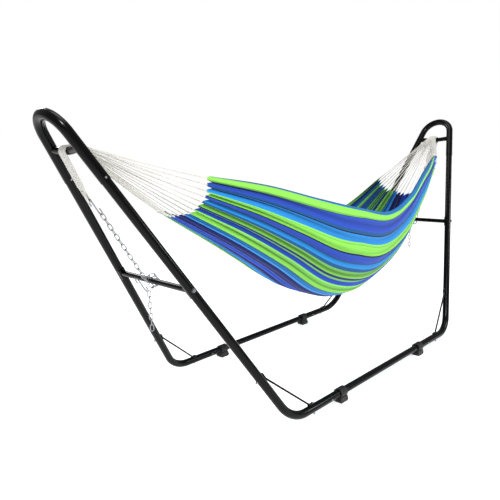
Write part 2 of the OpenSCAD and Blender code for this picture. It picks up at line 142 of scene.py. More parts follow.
def build_uneven_coat():
    """Patches, specks and grain for moulded, coated and plated pieces."""
    group, given, out = shader_group(
        "uneven_coat",
        [("Patch Scale", FLOAT, 14.0), ("Grain Scale", FLOAT, 700.0), ("Darkest", FLOAT, 0.8),
         ("Smoothest", FLOAT, 0.2), ("Roughest", FLOAT, 0.4)],
        [("Shade", FLOAT), ("Roughness", FLOAT), ("Height", FLOAT), ("Specks", FLOAT)])
    place = add(group, "ShaderNodeTexCoord")
    patches = add(group, "ShaderNodeTexNoise", {"Detail": 4.0, "Roughness": 0.6})
    grain = add(group, "ShaderNodeTexNoise", {"Detail": 2.0})
    specks = add(group, "ShaderNodeTexNoise", {"Scale": 260.0, "Detail": 1.0})
    shade = add(group, "ShaderNodeMapRange", {"From Min": 0.3, "From Max": 0.7, "To Max": 1.0})
    rough = add(group, "ShaderNodeMapRange", {"From Min": 0.3, "From Max": 0.7})
    spots = add(group, "ShaderNodeMapRange", {"From Min": 0.66, "From Max": 0.74})
    link = group.links.new
    for noise in (patches, grain, specks):
        link(place.outputs["Object"], noise.inputs["Vector"])
    link(given.outputs["Patch Scale"], patches.inputs["Scale"])
    link(given.outputs["Grain Scale"], grain.inputs["Scale"])
    link(patches.outputs["Fac"], shade.inputs["Value"])
    link(patches.outputs["Fac"], rough.inputs["Value"])
    link(specks.outputs["Fac"], spots.inputs["Value"])
    link(given.outputs["Darkest"], shade.inputs["To Min"])
    link(given.outputs["Smoothest"], rough.inputs["To Min"])
    link(given.outputs["Roughest"], rough.inputs["To Max"])
    link(shade.outputs["Result"], out.inputs["Shade"])
    link(rough.outputs["Result"], out.inputs["Roughness"])
    link(grain.outputs["Fac"], out.inputs["Height"])
    link(spots.outputs["Result"], out.inputs["Specks"])
    return group


UNEVEN_COAT = build_uneven_coat()
print("group:", UNEVEN_COAT.name)

# %% [markdown]
# Powder coat, zinc plate and moulded plastic differ in colour, gloss and grain, and share the
# same kind of unevenness. So one function makes all three: it mixes the base colour with a
# second one, dust or a rubbed edge, where the group's specks are.

# %% Finishes: steel and plastic
def coated(name, base, fleck, grain_height, values, coat):
    """A coated finish: base colour with flecks of a second colour over the uneven coat."""
    made, tree, shader = finish(name, values)
    group = add(tree, "ShaderNodeGroup", node_tree=UNEVEN_COAT)
    for socket, value in coat.items():
        group.inputs[socket].default_value = value
    tint = add(tree, "ShaderNodeMix", data_type="RGBA")
    dim = add(tree, "ShaderNodeVectorMath", operation="SCALE")
    bump = add(tree, "ShaderNodeBump", {"Strength": 0.5, "Distance": grain_height})
    tint.inputs[6].default_value = base
    tint.inputs[7].default_value = fleck
    link = tree.links.new
    link(group.outputs["Specks"], tint.inputs[0])
    link(tint.outputs[2], dim.inputs[0])
    link(group.outputs["Shade"], dim.inputs["Scale"])
    link(dim.outputs["Vector"], shader.inputs["Base Color"])
    link(group.outputs["Roughness"], shader.inputs["Roughness"])
    link(group.outputs["Height"], bump.inputs["Height"])
    link(bump.outputs["Normal"], shader.inputs["Normal"])
    return made


POWDER_COAT = coated(
    "black_powder_coat", linear(3, 3, 4), linear(12, 12, 14), 0.0001,
    {"Specular IOR Level": 0.13, "Coat Weight": 0.03, "Coat Roughness": 0.06},
    {"Patch Scale": 9.0, "Grain Scale": 900.0, "Darkest": 0.7, "Smoothest": 0.14, "Roughest": 0.26})
FOOT_PLASTIC = coated(
    "black_foot_rubber", linear(15, 15, 16), linear(40, 39, 38), 0.0004,
    {"Specular IOR Level": 0.4},
    {"Patch Scale": 30.0, "Grain Scale": 1400.0, "Darkest": 0.7, "Smoothest": 0.45, "Roughest": 0.65})
ZINC_PLATE = coated(
    "zinc_plated_steel", linear(158, 161, 166), linear(118, 118, 115), 0.00006,
    {"Metallic": 1.0},
    {"Patch Scale": 55.0, "Grain Scale": 1500.0, "Darkest": 0.7, "Smoothest": 0.24, "Roughest": 0.44})
print("finishes:", POWDER_COAT.name, FOOT_PLASTIC.name, ZINC_PLATE.name)

# %% [markdown]
# Hammock strings are twisted cotton: two plies wound round each other. Modelling every ply would cost many
# faces on strings this thin, so the piece carries two attributes, the length along the cord and the turn
# around it. The finish winds its stripes from those: ridges as bump, and painted shade that darkens the
# grooves between the plies.

# %% Shared effect: twisted yarn
def build_twisted_yarn():
    """Ridges that wind along a cord, from its attributes along (metres) and around (turns), and a Shade that
    paints the grooves between them darker.
    """
    group, given, out = shader_group(
        "twisted_yarn", [("Turns Per Metre", FLOAT, 160.0), ("Plies", FLOAT, 2.0)],
        [("Height", FLOAT), ("Shade", FLOAT)])
    along = add(group, "ShaderNodeAttribute", attribute_name="along")
    around = add(group, "ShaderNodeAttribute", attribute_name="around")
    place = add(group, "ShaderNodeTexCoord")
    fuzz = add(group, "ShaderNodeTexNoise", {"Scale": 900.0, "Detail": 3.0})
    wound = add(group, "ShaderNodeMath", operation="MULTIPLY")
    plied = add(group, "ShaderNodeMath", operation="MULTIPLY")
    phase = add(group, "ShaderNodeMath", operation="ADD")
    angle = add(group, "ShaderNodeMath", {1: 2 * math.pi}, operation="MULTIPLY")
    wave = add(group, "ShaderNodeMath", operation="SINE")
    height = add(group, "ShaderNodeMapRange", {"From Min": -1.0, "From Max": 1.0})
    furry = add(group, "ShaderNodeMath", {1: 0.35, 2: 0.0}, operation="MULTIPLY_ADD")
    # This shade is painted shade: darker in the grooves between plies, with a little random fuzz.
    shade = add(group, "ShaderNodeMapRange", {"To Min": 0.92, "To Max": 1.0, "From Max": 1.2})
    link = group.links.new
    link(along.outputs["Fac"], wound.inputs[0])
    link(given.outputs["Turns Per Metre"], wound.inputs[1])
    link(around.outputs["Fac"], plied.inputs[0])
    link(given.outputs["Plies"], plied.inputs[1])
    link(wound.outputs[0], phase.inputs[0])
    link(plied.outputs[0], phase.inputs[1])
    link(phase.outputs[0], angle.inputs[0])
    link(angle.outputs[0], wave.inputs[0])
    link(wave.outputs[0], height.inputs["Value"])
    link(place.outputs["Object"], fuzz.inputs["Vector"])
    link(fuzz.outputs["Fac"], furry.inputs[0])
    link(height.outputs["Result"], furry.inputs[2])
    link(furry.outputs[0], out.inputs["Height"])
    link(furry.outputs[0], shade.inputs["Value"])
    link(shade.outputs["Result"], out.inputs["Shade"])
    return group


TWISTED_YARN = build_twisted_yarn()
PLY_BUMP = 0.16


def cotton(name, base, turns, plies, ridge):
    """Off-white twisted cotton with that many turns a metre."""
    made, tree, shader = finish(name, {"Roughness": 0.9, "Sheen Weight": 0.2, "Specular IOR Level": 0.25})
    yarn = add(tree, "ShaderNodeGroup", node_tree=TWISTED_YARN)
    yarn.inputs["Turns Per Metre"].default_value = turns
    yarn.inputs["Plies"].default_value = plies
    dim = add(tree, "ShaderNodeVectorMath", {0: base[:3]}, operation="SCALE")
    bump = add(tree, "ShaderNodeBump", {"Strength": PLY_BUMP, "Distance": ridge})
    link = tree.links.new
    # The colour is darkened by the yarn's painted shade in the grooves between plies.
    link(yarn.outputs["Shade"], dim.inputs["Scale"])
    link(dim.outputs["Vector"], shader.inputs["Base Color"])
    link(yarn.outputs["Height"], bump.inputs["Height"])
    link(bump.outputs["Normal"], shader.inputs["Normal"])
    return made


STRING_COTTON = cotton("white_clew_string", linear(206, 204, 197), 170.0, 2.0, 0.0004)
BAND_COTTON = cotton("white_band_strand", linear(214, 213, 208), 130.0, 3.0, 0.0006)
STITCH_COTTON = cotton("binding_thread", linear(236, 238, 232), 300.0, 2.0, 0.0002)
print("finishes:", STRING_COTTON.name, BAND_COTTON.name, STITCH_COTTON.name)

# %% [markdown]
# The cloth is striped along its length. The warp threads carry the colours, so a stripe keeps
# its place across the width and narrows where the cloth is gathered. The stripes are listed
# from one selvedge to the middle, and the other half mirrors them. A constant colour ramp
# read from the piece's own map turns the list into bands with woven, crisp borders.

# %% Finish: striped cloth
LIME = linear(140, 224, 84)
GREEN_AND_LIME_IN_SHADOW = linear(112, 186, 74)
SKY = linear(34, 138, 216)
ROYAL = linear(38, 78, 192)
NAVY = linear(20, 34, 108)
TEAL = linear(16, 82, 136)
DARK_NAVY_AND_FOLD_SHADOW = linear(10, 18, 44)
EDGE = linear(22, 116, 184)
# Two entries are painted shadow of a fold near the selvedge, not yarn colour: the darker green from 0.07 and
# the dark line at 0.084.
STRIPES = [
    (0.0, EDGE), (0.015, LIME), (0.07, GREEN_AND_LIME_IN_SHADOW), (0.084, DARK_NAVY_AND_FOLD_SHADOW), (0.088, ROYAL), (0.148, TEAL),
    (0.163, DARK_NAVY_AND_FOLD_SHADOW), (0.168, SKY), (0.232, LIME), (0.243, GREEN_AND_LIME_IN_SHADOW), (0.25, LIME), (0.295, DARK_NAVY_AND_FOLD_SHADOW), (0.302, ROYAL),
    (0.352, TEAL), (0.366, SKY), (0.395, TEAL), (0.422, GREEN_AND_LIME_IN_SHADOW), (0.47, LIME), (0.485, NAVY),
    (0.51, GREEN_AND_LIME_IN_SHADOW), (0.535, ROYAL), (0.578, LIME), (0.592, GREEN_AND_LIME_IN_SHADOW), (0.645, LIME), (0.685, DARK_NAVY_AND_FOLD_SHADOW),
    (0.70, SKY), (0.748, TEAL), (0.756, SKY), (0.81, NAVY), (0.945, ROYAL)]
YARNS_ACROSS, YARNS_ALONG = 620.0, 860.0


def build_plain_weave():
    """Over-and-under yarns from the map, with slubs: long faint streaks along the warp."""
    group, given, out = shader_group(
        "plain_weave", [("Yarns Along", FLOAT, 800.0), ("Yarns Across", FLOAT, 600.0)],
        [("Height", FLOAT), ("Shade", FLOAT)])
    place = add(group, "ShaderNodeUVMap", uv_map="UVMap")
    split = add(group, "ShaderNodeSeparateXYZ")
    link = group.links.new
    link(place.outputs["UV"], split.inputs["Vector"])
    waves = []
    for axis, count in (("X", "Yarns Along"), ("Y", "Yarns Across")):
        turns = add(group, "ShaderNodeMath", operation="MULTIPLY")
        angle = add(group, "ShaderNodeMath", {1: math.pi}, operation="MULTIPLY")
        wave = add(group, "ShaderNodeMath", operation="SINE")
        link(split.outputs[axis], turns.inputs[0])
        link(given.outputs[count], turns.inputs[1])
        link(turns.outputs[0], angle.inputs[0])
        link(angle.outputs[0], wave.inputs[0])
        waves.append(wave)
    crossed = add(group, "ShaderNodeMath", operation="MULTIPLY")
    height = add(group, "ShaderNodeMapRange", {"From Min": -1.0, "From Max": 1.0})
    stretch = add(group, "ShaderNodeMapping", {"Scale": (5.0, 420.0, 1.0)})
    slub = add(group, "ShaderNodeTexNoise", {"Scale": 1.0, "Detail": 3.0})
    faded = add(group, "ShaderNodeTexNoise", {"Scale": 5.0, "Detail": 3.0})
    middle = {"From Min": 0.3, "From Max": 0.7}
    streak = add(group, "ShaderNodeMapRange", {**middle, "To Min": 0.82, "To Max": 1.06})
    patch = add(group, "ShaderNodeMapRange", {**middle, "To Min": 0.93, "To Max": 1.05})
    shade = add(group, "ShaderNodeMath", operation="MULTIPLY")
    link(waves[0].outputs[0], crossed.inputs[0])
    link(waves[1].outputs[0], crossed.inputs[1])
    link(crossed.outputs[0], height.inputs["Value"])
    link(place.outputs["UV"], stretch.inputs["Vector"])
    link(stretch.outputs["Vector"], slub.inputs["Vector"])
    link(place.outputs["UV"], faded.inputs["Vector"])
    link(slub.outputs["Fac"], streak.inputs["Value"])
    link(faded.outputs["Fac"], patch.inputs["Value"])
    link(streak.outputs["Result"], shade.inputs[0])
    link(patch.outputs["Result"], shade.inputs[1])
    link(height.outputs["Result"], out.inputs["Height"])
    link(shade.outputs[0], out.inputs["Shade"])
    return group


PLAIN_WEAVE = build_plain_weave()


def striped_cloth():
    """The woven cloth: stripes across the map's second axis, yarns as bump and shade, and painted shade
    between pleats from an attribute.
    """
    made, tree, shader = finish(
        "striped_cotton_cloth", {"Roughness": 0.88, "Sheen Weight": 0.12, "Specular IOR Level": 0.2})
    place = add(tree, "ShaderNodeUVMap", uv_map="UVMap")
    split = add(tree, "ShaderNodeSeparateXYZ")
    centred = add(tree, "ShaderNodeMath", {1: 2.0, 2: -1.0}, operation="MULTIPLY_ADD")
    folded = add(tree, "ShaderNodeMath", operation="ABSOLUTE")
    from_edge = add(tree, "ShaderNodeMath", {0: 1.0}, operation="SUBTRACT")
    ramp = add(tree, "ShaderNodeValToRGB")
    weave = add(tree, "ShaderNodeGroup", node_tree=PLAIN_WEAVE)
    open_place = add(tree, "ShaderNodeAttribute", attribute_name="openness")
    shaded = add(tree, "ShaderNodeMath", operation="MULTIPLY")
    dim = add(tree, "ShaderNodeVectorMath", operation="SCALE")
    bump = add(tree, "ShaderNodeBump", {"Strength": 0.35, "Distance": 0.0005})
    weave.inputs["Yarns Along"].default_value = YARNS_ALONG
    weave.inputs["Yarns Across"].default_value = YARNS_ACROSS
    bands = ramp.color_ramp
    bands.interpolation = "CONSTANT"
    for stop, (start, colour) in enumerate(STRIPES):
        element = bands.elements[0] if stop == 0 else bands.elements.new(start)
        element.position = start
        element.color = colour
    bands.elements.remove(bands.elements[-1])
    link = tree.links.new
    link(place.outputs["UV"], split.inputs["Vector"])
    link(split.outputs["Y"], centred.inputs[0])
    link(centred.outputs[0], folded.inputs[0])
    link(folded.outputs[0], from_edge.inputs[1])
    link(from_edge.outputs[0], ramp.inputs["Fac"])
    link(ramp.outputs["Color"], dim.inputs[0])
    # The attribute read here is painted shade: it darkens the colour between pleats and in crumple hollows.
    link(weave.outputs["Shade"], shaded.inputs[0])
    link(open_place.outputs["Fac"], shaded.inputs[1])
    link(shaded.outputs[0], dim.inputs["Scale"])
    link(dim.outputs["Vector"], shader.inputs["Base Color"])
    link(weave.outputs["Height"], bump.inputs["Height"])
    link(bump.outputs["Normal"], shader.inputs["Normal"])
    return made


CLOTH_FINISH = striped_cloth()
print("cloth:", len(STRIPES), "stripes from each selvedge to the middle")

# %% [markdown]
# The CAD pieces already have the right shapes. A node's object keeps its mesh, and only the
# material in its slot is changed, picked by what the piece is made of.

# %% Finishes on the CAD pieces
FINISH_BY_SLOT = {"black_powder_coat": POWDER_COAT, "black_foot_rubber": FOOT_PLASTIC,
                  "zinc_plated_steel": ZINC_PLATE}
STEEL_NAMES = ("bolt", "nut", "washer", "button", "s_hook", "chain")


def slot_of(name):
    """The finish that a CAD piece has, from what it is."""
    if name.startswith("foot"):
        return "black_foot_rubber"
    if any(word in name for word in STEEL_NAMES):
        return "zinc_plated_steel"
    return "black_powder_coat"


for name, node in nodes.items():
    for holder in node.material_slots:
        holder.material = FINISH_BY_SLOT[slot_of(name)]
print("finishes put on", len(nodes), "CAD pieces")

# %% [markdown]
# The pouch is described by three guide curves that run from the left end to the right: the
# near selvedge, the seat, and the far selvedge. Each crossways section is two quarter
# ellipses that meet at the seat. These are the same curves as the CAD solid's.

# %% The pouch
NEAR_EDGE = [(-0.89, -0.2, 1.09), (-0.64, -0.28, 1.035), (-0.38, -0.34, 0.958), (-0.12, -0.38, 0.89),
             (0.13, -0.39, 0.846), (0.35, -0.38, 0.905), (0.6, -0.335, 1.02), (0.905, -0.25, 1.11)]
SEAT_LINE = [(-0.915, 0.03, 0.919), (-0.63, 0.05, 0.76), (-0.345, 0.07, 0.582), (-0.065, 0.085, 0.392),
             (0.195, 0.09, 0.318), (0.465, 0.09, 0.36), (0.805, 0.07, 0.476), (0.906, 0.035, 0.646),
             (0.985, 0.01, 0.848)]
FAR_EDGE = [(-0.905, 0.15, 0.938), (-0.62, 0.305, 0.84), (-0.33, 0.4, 0.735), (-0.02, 0.442, 0.665),
            (0.26, 0.443, 0.645), (0.52, 0.415, 0.7), (0.745, 0.31, 0.8), (0.925, 0.175, 0.965)]
SOLID_MIDDLE = 0.003


def along(points, u):
    """Points on a smooth curve through points, for an array u of places from 0 to 1."""
    given = np.array(points)
    count = len(given) - 1
    padded = np.vstack([2 * given[0] - given[1], given, 2 * given[-1] - given[-2]])
    run = np.clip(u, 0, 1) * count
    first = np.minimum(run.astype(int), count - 1)
    t = (run - first)[..., None]
    a, b, c, d = (padded[first + k] for k in range(4))
    return (2 * b + (c - a) * t + (2 * a - 5 * b + 4 * c - d) * t**2 + (3 * b - a - 3 * c + d) * t**3) / 2


def pouch(u, v):
    """Points of the pouch: u from the left end to the right, v from the near edge to the far."""
    seat = along(SEAT_LINE, u)
    edge = np.where((v < 0)[..., None], along(NEAR_EDGE, u), along(FAR_EDGE, u))
    angle = np.abs(v) * math.pi / 2
    reach = edge - seat
    swing = np.stack([np.sin(angle), np.sin(angle), 1 - np.cos(angle)], axis=-1)
    return seat + reach * swing


def unit(vectors):
    """The same directions with length 1."""
    return vectors / np.maximum(np.linalg.norm(vectors, axis=-1, keepdims=True), 1e-12)


def inward(u, v):
    """Directions that point into the pouch."""
    step = 0.01
    down = pouch(np.minimum(u + step, 1), v) - pouch(np.maximum(u - step, 0), v)
    across = pouch(u, np.minimum(v + step, 1)) - pouch(u, np.maximum(v - step, -1))
    return unit(np.cross(down, across))


middle_line = pouch(np.full(200, 0.55), np.linspace(-1, 1, 200))
print("pouch: %.2f m round its middle" % np.linalg.norm(np.diff(middle_line, axis=0), axis=1).sum())

# %% [markdown]
# The arches lean outward, so places on them are given in the arch's own plane: how far out of
# the plane, how far across, and how far up from the base corner. One function takes those to
# the frame. The hook bar's middle is where each band goes over.

# %% Places on the arches
BASE_HALF, RAIL_HEIGHT, ARCH_LEAN = 0.715, 0.045, math.radians(29.7)
BAR_UP, BAR_RADIUS, HOOK_UP = 1.340, 0.014, 1.352
HOOK_ARC_UP, HOOK_ARC_RADIUS, HOOK_WIRE = 1.135, 0.014, 0.0058
CHAIN_OUT = 0.030
ENDS = {"left": -1, "right": 1}


def on_arch(side, out, across, up):
    """From an arch's own plane to the frame, on the left (-1) or right (1) side."""
    out, across, up = np.broadcast_arrays(*(np.asarray(c, float) for c in (out, across, up)))
    x = side * (BASE_HALF + out * math.cos(ARCH_LEAN) + up * math.sin(ARCH_LEAN))
    z = RAIL_HEIGHT - out * math.sin(ARCH_LEAN) + up * math.cos(ARCH_LEAN)
    return np.stack([x, across, z], axis=-1)


string_root = {name: on_arch(side, -0.03, 0, HOOK_UP) for name, side in ENDS.items()}
for name in ENDS:
    low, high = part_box("hook_bar_" + name)
    bar_middle = np.round(on_arch(ENDS[name], 0, 0, BAR_UP), 3)
    print(name, "bar middle", bar_middle, "box z", round(low.z, 3), round(high.z, 3))

# %% [markdown]
# The cloth is a grid over the pouch, with three things added to it. Pleats run along it: they
# are deep at the gathered ends and fade towards the middle, where the cloth is drawn flat.
# The ends are scalloped, because each group of strings pulls out a rounded tip. Long soft
# folds, from a few seeded waves, break up the evenness. Rows are closer near both ends.
# Near the selvedge the cloth rolls over, so the outer stripes shift along the length. A value called
# openness paints shade into the finish between pleats and in the hollows of soft crumples, where less light
# gets in.

# %% The cloth
TIPS = 22
CLOTH_ROWS, CLOTH_COLUMNS = 126, 300
PLEAT_END, PLEAT_MIDDLE, PLEAT_FADE = 0.021, 0.0042, 0.3
TIP_REACH, TIP_FADE, TIP_UNEVEN = 0.021, 0.09, 0.35
FOLD_DEPTH, FOLD_WAVES, FOLD_SEED = 0.006, 9, 4
CREASE_DARK, CREASE_FADE, CREASE_SHARP = 0.85, 0.4, 1.4
CRUMPLE_DARK, CRUMPLE_LONG, CRUMPLE_WIDE = 0.3, 1.7, 1.6
CLOTH_THICK = 0.0018
# Stripe borders from the selvedge, and where each lies at places along the length.
STRIPE_EDGES = [0, 0.015, 0.09, 0.165, 0.24, 0.3, 0.5, 2]
EDGES_SEEN = {0.0: [0, 0.013, 0.085, 0.158, 0.236, 0.3, 0.5, 2],
              0.18: [0, 0.013, 0.082, 0.155, 0.236, 0.3, 0.5, 2],
              0.45: [0, 0.014, 0.055, 0.152, 0.208, 0.286, 0.5, 2],
              0.75: [0, 0.034, 0.055, 0.16, 0.24, 0.325, 0.52, 2],
              0.9: [0, 0.03, 0.05, 0.16, 0.24, 0.325, 0.52, 2],
              1.0: [0, 0.002, 0.004, 0.09, 0.2, 0.32, 0.5, 2]}


def smooth_step(low, high, value):
    """0 below low, 1 above high, smooth between."""
    t = np.clip((value - low) / (high - low), 0, 1)
    return t * t * (3 - 2 * t)


def ridge(v):
    """The rounded top of each pleat, 1 at its crest and 0 in the valley between two."""
    return np.abs(np.sin(math.pi * TIPS * (v + 1) / 2)) ** 0.7


def uneven(v):
    """How much further than the next one each tip is pulled, by its number."""
    chosen = np.random.default_rng(FOLD_SEED + 1).uniform(-TIP_UNEVEN, TIP_UNEVEN, TIPS + 1)
    return np.interp((v + 1) / 2 * TIPS, np.arange(TIPS + 1), chosen)


def soft_folds(u, v):
    """Long shallow folds, from a few seeded waves that lean a little."""
    draw = np.random.default_rng(FOLD_SEED)
    total = np.zeros_like(u)
    for _ in range(FOLD_WAVES):
        across, lengthways, phase = draw.uniform(8, 34), draw.uniform(-3, 3), draw.uniform(0, 6.28)
        total += np.sin(across * v + lengthways * u + phase)
    return total / FOLD_WAVES


def cloth_points(u, v):
    """Points of the finished cloth: pouch, pleats, soft folds and scalloped ends."""
    from_end = np.minimum(u, 1 - u)
    pleat = (PLEAT_MIDDLE + PLEAT_END * np.exp(-from_end / PLEAT_FADE)) * (ridge(v) - 0.5)
    fold = FOLD_DEPTH * soft_folds(u, v) * smooth_step(0, 0.12, from_end)
    points = pouch(u, v) + inward(u, v) * (SOLID_MIDDLE - pleat - fold)[..., None]
    root = np.where((u < 0.5)[..., None], string_root["left"], string_root["right"])
    pull = TIP_REACH * (2 * ridge(v) - 1 + uneven(v)) * (1 - smooth_step(0, TIP_FADE, from_end))
    return points + unit(root - points) * pull[..., None]


def stripes_at(rows, columns):
    """Where each grid point lies among the stripes, from 0 to 1 across the whole width."""
    stations = sorted(EDGES_SEEN)
    seen = np.array([EDGES_SEEN[place] for place in stations])
    placed = []
    for row in rows:
        edges = [np.interp(row, stations, seen[:, k]) for k in range(len(STRIPE_EDGES))]
        placed.append(np.interp(columns + 1, edges, STRIPE_EDGES) / 2)
    return np.array(placed)


def grid_mesh(name, points, map_u, map_v):
    """A mesh from a grid of points, with a map from each point's own two numbers."""
    rows, columns = points.shape[:2]
    corner = (np.arange(rows - 1)[:, None] * columns + np.arange(columns - 1)).reshape(-1, 1)
    quads = corner + np.array([0, columns, columns + 1, 1])
    mesh = bpy.data.meshes.new(name)
    mesh.from_pydata(points.reshape(-1, 3).tolist(), [], quads.tolist())
    layer = mesh.uv_layers.new(name="UVMap")
    flat = np.stack([map_u, map_v], axis=-1).reshape(-1, 2)[quads.reshape(-1)]
    layer.data.foreach_set("uv", flat.astype(np.float32).reshape(-1))
    mesh.shade_smooth()
    made = bpy.data.objects.new(name, mesh)
    bpy.context.scene.collection.objects.link(made)
    return made


def openness(u, v):
    """How open to the light each place is, as painted shade: 1 on the pleats, less down between them and in
    crumple hollows.
    """
    from_end = np.minimum(u, 1 - u)
    deep = CREASE_DARK * np.exp(-(from_end / CREASE_FADE) ** 2)
    between = (1 - ridge(v)) ** CREASE_SHARP
    hollows = np.clip(-soft_folds(CRUMPLE_LONG * u, CRUMPLE_WIDE * v) * 2, 0, 1)
    crumple = CRUMPLE_DARK * hollows
    return (1 - deep * between) * (1 - crumple)


even = np.linspace(0, 1, CLOTH_ROWS)
rows_at = 0.55 * even + 0.45 * (0.5 - 0.5 * np.cos(math.pi * even))
grid_u, grid_v = np.meshgrid(rows_at, np.linspace(-1, 1, CLOTH_COLUMNS), indexing="ij")
stripe_place = stripes_at(rows_at, grid_v[0])
cloth = grid_mesh("striped_cloth", cloth_points(grid_u, grid_v), grid_u, stripe_place)
cloth.data.materials.append(CLOTH_FINISH)
# This attribute is painted shade: darker between pleats and in crumple hollows.
open_layer = cloth.data.attributes.new("openness", "FLOAT", "POINT")
open_layer.data.foreach_set("value", openness(grid_u, grid_v).astype(np.float32).reshape(-1))
shell = cloth.modifiers.new("thickness", "SOLIDIFY")
shell.thickness = CLOTH_THICK
shell.offset = 0
cloth_area = sum(face.area for face in cloth.data.polygons)
print("cloth:", len(cloth.data.polygons), "faces, %.2f m2" % cloth_area)

# %% [markdown]
# Geometry Nodes suit the strings, because each is the same: a line, made a curve, given a
# little sag, and swept with a round section. The lines come in as a mesh of single edges. The
# tree stores the length along and the turn around, which the twisted finish reads. At the end
# the result is turned into a plain mesh, so nothing live is left on the piece.

# %% Geometry Nodes helpers
def geometry_tree(name, inputs):
    """An empty geometry tree with named inputs, each (name, socket kind, value)."""
    tree = bpy.data.node_groups.new(name, "GeometryNodeTree")
    tree.interface.new_socket("Geometry", in_out="INPUT", socket_type="NodeSocketGeometry")
    for label, kind, value in inputs:
        tree.interface.new_socket(label, in_out="INPUT", socket_type=kind).default_value = value
    tree.interface.new_socket("Geometry", in_out="OUTPUT", socket_type="NodeSocketGeometry")
    return tree, add(tree, "NodeGroupInput"), add(tree, "NodeGroupOutput")


def grown(name, mesh, tree, values):
    """Runs a tree on a mesh and keeps the result as a plain mesh object."""
    carrier = bpy.data.objects.new(name + "_carrier", mesh)
    bpy.context.scene.collection.objects.link(carrier)
    modifier = carrier.modifiers.new("nodes", "NODES")
    modifier.node_group = tree
    for item in tree.interface.items_tree:
        if item.item_type == "SOCKET" and item.in_out == "INPUT" and item.name in values:
            modifier[item.identifier] = values[item.name]
    graph = bpy.context.evaluated_depsgraph_get()
    result = bpy.data.meshes.new_from_object(carrier.evaluated_get(graph))
    result.name = name
    bpy.data.objects.remove(carrier)
    made = bpy.data.objects.new(name, result)
    bpy.context.scene.collection.objects.link(made)
    return made


def build_string_tree():
    """Edges in, sagging round strings out."""
    tree, given, out = geometry_tree(
        "sagging_strings",
        [("Radius", FLOAT, 0.0012), ("Sag", FLOAT, 0.006), ("Pieces", "NodeSocketInt", 14),
         ("Sides", "NodeSocketInt", 6), ("Seed", "NodeSocketInt", 1),
         ("Finish", "NodeSocketMaterial", None)])
    line = add(tree, "GeometryNodeMeshToCurve")
    cut = add(tree, "GeometryNodeResampleCurve")
    place = add(tree, "GeometryNodeSplineParameter")
    rest = add(tree, "ShaderNodeMath", {0: 1.0}, operation="SUBTRACT")
    bow = add(tree, "ShaderNodeMath", operation="MULTIPLY")
    scaled = add(tree, "ShaderNodeMath", {1: -4.0}, operation="MULTIPLY")
    chance = add(tree, "FunctionNodeRandomValue", data_type="FLOAT")
    which = add(tree, "GeometryNodeInputNamedAttribute", data_type="INT")
    sagged = add(tree, "ShaderNodeMath", operation="MULTIPLY")
    dropped = add(tree, "ShaderNodeMath", operation="MULTIPLY")
    drop = add(tree, "ShaderNodeCombineXYZ")
    moved = add(tree, "GeometryNodeSetPosition")
    length = add(tree, "GeometryNodeStoreNamedAttribute", {"Name": "along"}, data_type="FLOAT")
    section = add(tree, "GeometryNodeCurvePrimitiveCircle")
    round_place = add(tree, "GeometryNodeSplineParameter")
    turn = add(tree, "GeometryNodeStoreNamedAttribute", {"Name": "around"}, data_type="FLOAT")
    swept = add(tree, "GeometryNodeCurveToMesh", {"Fill Caps": True})
    smooth = add(tree, "GeometryNodeSetShadeSmooth")
    real = add(tree, "GeometryNodeRealizeInstances")
    painted = add(tree, "GeometryNodeSetMaterial")
    which.inputs["Name"].default_value = "string"
    chance.inputs[2].default_value = 0.35
    chance.inputs[3].default_value = 1.5
    link = tree.links.new
    link(given.outputs["Geometry"], line.inputs["Mesh"])
    link(line.outputs["Curve"], cut.inputs["Curve"])
    link(given.outputs["Pieces"], cut.inputs["Count"])
    link(place.outputs["Factor"], rest.inputs[1])
    link(place.outputs["Factor"], bow.inputs[0])
    link(rest.outputs[0], bow.inputs[1])
    link(bow.outputs[0], scaled.inputs[0])
    link(which.outputs["Attribute"], chance.inputs["ID"])
    link(given.outputs["Seed"], chance.inputs["Seed"])
    link(given.outputs["Sag"], sagged.inputs[0])
    link(chance.outputs[1], sagged.inputs[1])
    link(scaled.outputs[0], dropped.inputs[0])
    link(sagged.outputs[0], dropped.inputs[1])
    link(dropped.outputs[0], drop.inputs["Z"])
    link(cut.outputs["Curve"], moved.inputs["Geometry"])
    link(drop.outputs["Vector"], moved.inputs["Offset"])
    link(moved.outputs["Geometry"], length.inputs["Geometry"])
    link(place.outputs["Length"], length.inputs["Value"])
    link(given.outputs["Sides"], section.inputs["Resolution"])
    link(given.outputs["Radius"], section.inputs["Radius"])
    link(section.outputs["Curve"], turn.inputs["Geometry"])
    link(round_place.outputs["Factor"], turn.inputs["Value"])
    link(length.outputs["Geometry"], swept.inputs["Curve"])
    link(turn.outputs["Geometry"], swept.inputs["Profile Curve"])
    link(swept.outputs["Mesh"], smooth.inputs["Geometry"])
    link(smooth.outputs["Geometry"], real.inputs["Geometry"])
    link(real.outputs["Geometry"], painted.inputs["Geometry"])
    link(given.outputs["Finish"], painted.inputs["Material"])
    link(painted.outputs["Geometry"], out.inputs["Geometry"])
    return tree


STRING_TREE = build_string_tree()
print("tree:", STRING_TREE.name, len(STRING_TREE.nodes), "nodes")

# %% [markdown]
# Each tip of the cloth is held by two strings. They start a little inside the hem and all end
# in the mouth of the band, side by side in two layers, so the fan narrows as it rises.

# %% The clew strings
STRINGS_PER_TIP = 2
STRING_RADIUS, STRING_SAG = 0.0017, 0.0045
MOUTH_WIDE, MOUTH_DEEP = 0.038, 0.006
HEM_INSET, STRING_SPREAD = 0.006, 0.0022


